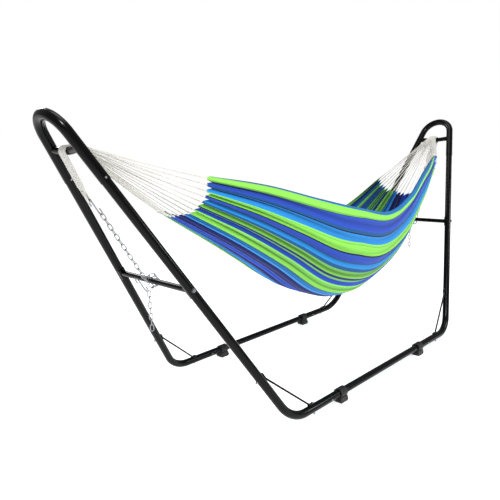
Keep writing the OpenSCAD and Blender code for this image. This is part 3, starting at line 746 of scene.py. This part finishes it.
def string_lines(name):
    """A mesh of one edge for each string of one end."""
    u_end = 0.0 if name == "left" else 1.0
    crest = (2 * (np.arange(TIPS) + 0.5) / TIPS - 1).repeat(STRINGS_PER_TIP)
    side_of_tip = np.tile(np.linspace(-1, 1, STRINGS_PER_TIP), TIPS)
    tip = cloth_points(np.full(len(crest), u_end), crest)
    root = string_root[name]
    pull = unit(root - tip)
    beside = unit(np.cross(pull, inward(np.full(len(crest), u_end), crest)))
    start = tip - pull * HEM_INSET + beside * (STRING_SPREAD * side_of_tip)[:, None]
    layer = np.where(np.arange(len(crest)) % 2 == 0, -0.5, 0.5)
    offset = np.stack([0 * layer, crest * MOUTH_WIDE / 2, layer * MOUTH_DEEP], axis=-1)
    points = np.stack([start, root + offset], axis=1).reshape(-1, 3)
    edges = np.arange(len(points)).reshape(-1, 2)
    mesh = bpy.data.meshes.new("lines_" + name)
    mesh.from_pydata(points.tolist(), edges.tolist(), [])
    number = mesh.attributes.new("string", "INT", "POINT")
    number.data.foreach_set("value", np.arange(len(crest)).repeat(2).astype(np.int32))
    return mesh


clew = {}
for name in ENDS:
    clew[name] = grown("strings_" + name, string_lines(name), STRING_TREE,
                       {"Radius": STRING_RADIUS, "Sag": STRING_SAG, "Pieces": 14, "Sides": 6,
                        "Seed": 3, "Finish": STRING_COTTON})
    print(clew[name].name, len(clew[name].data.polygons), "faces")

# %% [markdown]
# The plaited pieces need a route for each strand, so they are swept in mesh code: a ring of
# points round each place on the route, its frame carried along so that it never twists, and
# closed at both ends.

# %% Swept cords
def carried_frames(route):
    """Two directions square to a route at each point, carried along without twist."""
    tangent = unit(np.gradient(route, axis=0))
    first = np.cross(tangent[0], (0.0, 0.0, 1.0))
    if np.linalg.norm(first) < 0.1:
        first = np.cross(tangent[0], (0.0, 1.0, 0.0))
    sides = [unit(first)]
    for direction in tangent[1:]:
        sides.append(unit(sides[-1] - direction * np.dot(sides[-1], direction)))
    side = np.array(sides)
    return side, np.cross(tangent, side)


def swept_cords(name, routes, radius, ring, material):
    """One object from many round cords, with the along and around of each point."""
    points, faces, lengths, turns, base = [], [], [], [], 0
    angle = np.linspace(0, 2 * math.pi, ring, endpoint=False)
    for route in routes:
        side, other = carried_frames(route)
        rings = route[:, None] + radius * (
            np.cos(angle)[None, :, None] * side[:, None] + np.sin(angle)[None, :, None] * other[:, None])
        run = np.concatenate([[0], np.linalg.norm(np.diff(route, axis=0), axis=1).cumsum()])
        count = len(route)
        points.append(rings.reshape(-1, 3))
        lengths.append(run.repeat(ring))
        turns.append(np.tile(np.arange(ring) / ring, count))
        for i in range(count - 1):
            for j in range(ring):
                a, b = base + i * ring + j, base + i * ring + (j + 1) % ring
                faces.append((a, b, b + ring, a + ring))
        faces.append(tuple(base + j for j in reversed(range(ring))))
        faces.append(tuple(base + (count - 1) * ring + j for j in range(ring)))
        base += count * ring
    mesh = bpy.data.meshes.new(name)
    mesh.from_pydata(np.vstack(points).tolist(), [], faces)
    for label, values in (("along", lengths), ("around", turns)):
        layer = mesh.attributes.new(label, "FLOAT", "POINT")
        layer.data.foreach_set("value", np.concatenate(values).astype(np.float32))
    mesh.materials.append(material)
    mesh.shade_smooth()
    made = bpy.data.objects.new(name, mesh)
    bpy.context.scene.collection.objects.link(made)
    return made


# %% [markdown]
# A flat plait: every strand swings from edge to edge, and rises and dips once for each strand
# that it meets. With an odd number of strands, a cosine across and a faster sine up and down
# give over, under, over, under by themselves. The band goes over the bar and down to its eye.

# %% The end bands
STRANDS, STRAND_RADIUS = 17, 0.00235
PLAIT_WIDE, PLAIT_DEEP, PLAIT_PITCH = 0.0232, 0.0021, 0.115
NECK_UP = HOOK_ARC_UP + 0.045
TAPER_START, TAPER_SHARE = 0.85, 0.4
EYE_ACROSS, EYE_HALF_WIDE, EYE_CLEAR = HOOK_ARC_RADIUS, 0.0062, 0.0004
WHIP_TURNS, WHIP_STEPS, WHIP_LONG = 9, 16, 0.018
WHIP_OUT, WHIP_ACROSS, WHIP_RADIUS = 0.0072, 0.0108, 0.0011
BAND_RIDE = BAR_RADIUS + 0.0052


def band_route():
    """The band's middle line in the arch plane (out, across, up), evenly spaced."""
    turn = np.radians(np.linspace(150, 2, 30))
    over = np.stack([BAND_RIDE * np.cos(turn), 0 * turn, BAR_UP + BAND_RIDE * np.sin(turn)], axis=-1)
    mouth = np.array([[-0.034, 0, HOOK_UP - 0.004], [-0.027, 0, HOOK_UP - 0.001]])
    down = np.linspace(0, 1, 30)[1:, None]
    start, end = over[-1], np.array([CHAIN_OUT, HOOK_ARC_RADIUS, NECK_UP])
    route = np.vstack([mouth, over, start + (end - start) * down])
    run = np.concatenate([[0], np.linalg.norm(np.diff(route, axis=0), axis=1).cumsum()])
    even_run = np.arange(0, run[-1], 0.0015)
    return np.stack([np.interp(even_run, run, route[:, k]) for k in range(3)], axis=-1), even_run


def plait_routes(side):
    """The route of each strand of the flat plait, in the frame."""
    route, run = band_route()
    tangent = unit(np.gradient(route, axis=0))
    flat = unit(np.cross(np.array([0.0, 1.0, 0.0]), tangent))
    taper = 1 - TAPER_SHARE * smooth_step(run[-1] * TAPER_START, run[-1], run)
    routes = []
    for strand in range(STRANDS):
        swing = 2 * math.pi * (run / PLAIT_PITCH + strand / STRANDS)
        across = PLAIT_WIDE * taper * np.cos(swing)
        proud = PLAIT_DEEP * np.sin((STRANDS - 1) * swing)
        place = route + flat * proud[:, None]
        routes.append(on_arch(side, place[:, 0], place[:, 1] + across, place[:, 2]))
    return routes


def eye_routes(side):
    """Four cords that loop from the neck round the S hook and back."""
    half_wide = HOOK_WIRE / 2 + STRAND_RADIUS + EYE_CLEAR
    turn = np.radians(np.linspace(180, 360, 17))
    routes = []
    for beside in np.linspace(-EYE_HALF_WIDE, EYE_HALF_WIDE, 4):
        reach = abs(beside) + STRAND_RADIUS
        wire_up = HOOK_ARC_UP + math.sqrt(HOOK_ARC_RADIUS ** 2 - reach ** 2)
        under = np.stack([CHAIN_OUT + half_wide * np.cos(turn), wire_up + half_wide * np.sin(turn)], axis=-1)
        rise = np.linspace(0, 1, 12)[1:, None]
        top = np.array([CHAIN_OUT, NECK_UP + 0.006])
        lead = top + np.array([-0.0024, 0])
        tail = top + np.array([0.0024, 0])
        fall = (lead + (under[0] - lead) * rise)[:-1]
        line = np.vstack([fall, under, under[-1] + (tail - under[-1]) * rise])
        across = np.full(len(line), EYE_ACROSS + beside)
        routes.append(on_arch(side, line[:, 0], across, line[:, 1]))
    return routes


def whipping_route(side):
    """Tight turns of thin cord round the neck, above the eye."""
    t = np.linspace(0, WHIP_TURNS * 2 * math.pi, WHIP_TURNS * WHIP_STEPS)
    out = CHAIN_OUT + WHIP_OUT * np.cos(t)
    across = EYE_ACROSS + WHIP_ACROSS * np.sin(t)
    up = NECK_UP - WHIP_LONG / 2 + WHIP_LONG * t / t[-1]
    return on_arch(side, out, across, up)


bands = {}
for name, side in ENDS.items():
    bands[name] = {
        "plait": swept_cords("plaited_band_" + name, plait_routes(side), STRAND_RADIUS, 7, BAND_COTTON),
        "eye": swept_cords("band_eye_" + name, eye_routes(side), STRAND_RADIUS, 8, BAND_COTTON),
        "whipping": swept_cords("band_whipping_" + name, [whipping_route(side)],
                                WHIP_RADIUS, 6, STRING_COTTON)}
    print(name, {part: len(made.data.polygons) for part, made in bands[name].items()})

# %% [markdown]
# Where strings enter the cloth they are bound with a few turns of thread. The binding
# repeats, so a tree puts one small coil on many points and turns it to each point's own
# direction.

# %% Bindings at the tips
def build_repeat_tree():
    """One helix of thread, placed on every point and turned along the point's direction."""
    tree, given, out = geometry_tree(
        "thread_turns",
        [("Turns", FLOAT, 3.0), ("Turn Radius", FLOAT, 0.0032), ("Length", FLOAT, 0.006),
         ("Thread", FLOAT, 0.0008), ("Points", "NodeSocketInt", 10),
         ("Finish", "NodeSocketMaterial", None)])
    coil = add(tree, "GeometryNodeCurveSpiral")
    thread = add(tree, "GeometryNodeCurvePrimitiveCircle", {"Resolution": 5})
    swept = add(tree, "GeometryNodeCurveToMesh", {"Fill Caps": True})
    way = add(tree, "GeometryNodeInputNamedAttribute", {"Name": "way"}, data_type="FLOAT_VECTOR")
    turned = add(tree, "FunctionNodeAlignRotationToVector", axis="Z")
    placed = add(tree, "GeometryNodeInstanceOnPoints")
    real = add(tree, "GeometryNodeRealizeInstances")
    smooth = add(tree, "GeometryNodeSetShadeSmooth")
    painted = add(tree, "GeometryNodeSetMaterial")
    link = tree.links.new
    link(given.outputs["Points"], coil.inputs["Resolution"])
    link(given.outputs["Turns"], coil.inputs["Rotations"])
    link(given.outputs["Turn Radius"], coil.inputs["Start Radius"])
    link(given.outputs["Turn Radius"], coil.inputs["End Radius"])
    link(given.outputs["Length"], coil.inputs["Height"])
    link(given.outputs["Thread"], thread.inputs["Radius"])
    link(coil.outputs["Curve"], swept.inputs["Curve"])
    link(thread.outputs["Curve"], swept.inputs["Profile Curve"])
    link(given.outputs["Geometry"], placed.inputs["Points"])
    link(swept.outputs["Mesh"], placed.inputs["Instance"])
    link(way.outputs["Attribute"], turned.inputs["Vector"])
    link(turned.outputs["Rotation"], placed.inputs["Rotation"])
    link(placed.outputs["Instances"], real.inputs["Geometry"])
    link(real.outputs["Geometry"], smooth.inputs["Geometry"])
    link(smooth.outputs["Geometry"], painted.inputs["Geometry"])
    link(given.outputs["Finish"], painted.inputs["Material"])
    link(painted.outputs["Geometry"], out.inputs["Geometry"])
    return tree


THREAD_TREE = build_repeat_tree()


def pointed_mesh(name, points, ways):
    """A mesh of single points, each with the direction of what will stand on it."""
    mesh = bpy.data.meshes.new(name)
    mesh.from_pydata(points.tolist(), [], [])
    layer = mesh.attributes.new("way", "FLOAT_VECTOR", "POINT")
    layer.data.foreach_set("vector", ways.astype(np.float32).reshape(-1))
    return mesh


binding = {}
for name in ENDS:
    u_end = np.full(TIPS, 0.0 if name == "left" else 1.0)
    crest = 2 * (np.arange(TIPS) + 0.5) / TIPS - 1
    tip = cloth_points(u_end, crest)
    pull = unit(string_root[name] - tip)
    binding[name] = grown("tip_bindings_" + name, pointed_mesh("tips_" + name, tip, pull), THREAD_TREE,
                          {"Turns": 4.0, "Turn Radius": 0.0036, "Length": 0.007, "Thread": 0.0008,
                           "Points": 10, "Finish": STITCH_COTTON})
    print(binding[name].name, len(binding[name].data.polygons), "faces")

# %% [markdown]
# A pale floor, a white surround and four soft lights. The surround lights less than it
# shows, and the floor glows a little, so both look white and the cloth keeps its colours.

# %% Floor and light
FLOOR_SIZE, FLOOR_GLOW = 60.0, 0.66
SURROUND_SEEN, SURROUND_LIGHT = 1.0, 0.42
LIGHTS = [("key", (-2.6, -2.4, 3.8), (0, 0, 0.7), 0.8, 120.0),
          ("fill", (2.8, -3.6, 2.6), (0.2, 0, 0.6), 0.9, 60.0),
          ("rim", (-0.5, 4.0, 3.4), (0, 0, 0.8), 1.2, 60.0),
          ("overhead", (0, 0, 5.5), (0, 0, 0), 3.0, 90.0)]


def soft_light(name, place, target, size, power):
    """A large square light at place, facing target."""
    light = bpy.data.lights.new(name, "AREA")
    light.size = size
    light.energy = power
    made = bpy.data.objects.new(name, light)
    made.location = place
    made.rotation_mode = "QUATERNION"
    made.rotation_quaternion = (Vector(target) - Vector(place)).to_track_quat("-Z", "Y")
    bpy.context.scene.collection.objects.link(made)
    return made


floor_mesh = bpy.data.meshes.new("floor")
half_floor = FLOOR_SIZE / 2
floor_corners = [(-half_floor, -half_floor, 0), (half_floor, -half_floor, 0),
                 (half_floor, half_floor, 0), (-half_floor, half_floor, 0)]
floor_mesh.from_pydata(floor_corners, [], [(0, 1, 2, 3)])
floor = bpy.data.objects.new("floor", floor_mesh)
bpy.context.scene.collection.objects.link(floor)
floor_finish, _, floor_shader = finish("pale_floor", {"Roughness": 0.9, "Specular IOR Level": 0.1})
floor_shader.inputs["Base Color"].default_value = (0.9, 0.9, 0.9, 1)
floor_shader.inputs["Emission Color"].default_value = (1, 1, 1, 1)
floor_shader.inputs["Emission Strength"].default_value = FLOOR_GLOW
floor_mesh.materials.append(floor_finish)


def white_surround():
    """A surround that looks white, and lights the object more softly than it looks."""
    made = bpy.data.worlds.new("white_surround")
    made.use_nodes = True
    tree = made.node_tree
    path = add(tree, "ShaderNodeLightPath")
    strength = add(tree, "ShaderNodeMapRange", {"To Min": SURROUND_LIGHT, "To Max": SURROUND_SEEN})
    background = tree.nodes["Background"]
    background.inputs["Color"].default_value = (1, 1, 1, 1)
    tree.links.new(path.outputs["Is Camera Ray"], strength.inputs["Value"])
    tree.links.new(strength.outputs["Result"], background.inputs["Strength"])
    return made


bpy.context.scene.world = white_surround()
bpy.context.scene.view_settings.view_transform = "Standard"
for light_name, place, target, size, power in LIGHTS:
    soft_light(light_name, place, target, size, power)
print("floor and", len(LIGHTS), "soft lights")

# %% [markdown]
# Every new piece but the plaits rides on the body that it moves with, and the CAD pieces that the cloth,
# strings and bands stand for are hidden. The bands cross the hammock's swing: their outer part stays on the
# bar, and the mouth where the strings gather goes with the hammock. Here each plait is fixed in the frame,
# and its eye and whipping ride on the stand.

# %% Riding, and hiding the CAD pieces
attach(cloth, "hammock")
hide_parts("hammock_cloth")
for name, side in ENDS.items():
    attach(clew[name], "hammock")
    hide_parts("clew_strings_" + name)
    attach(binding[name], "hammock")
    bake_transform(bands[name]["plait"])
    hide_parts("end_band_" + name)
    for part in ("eye", "whipping"):
        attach(bands[name][part], "stand")
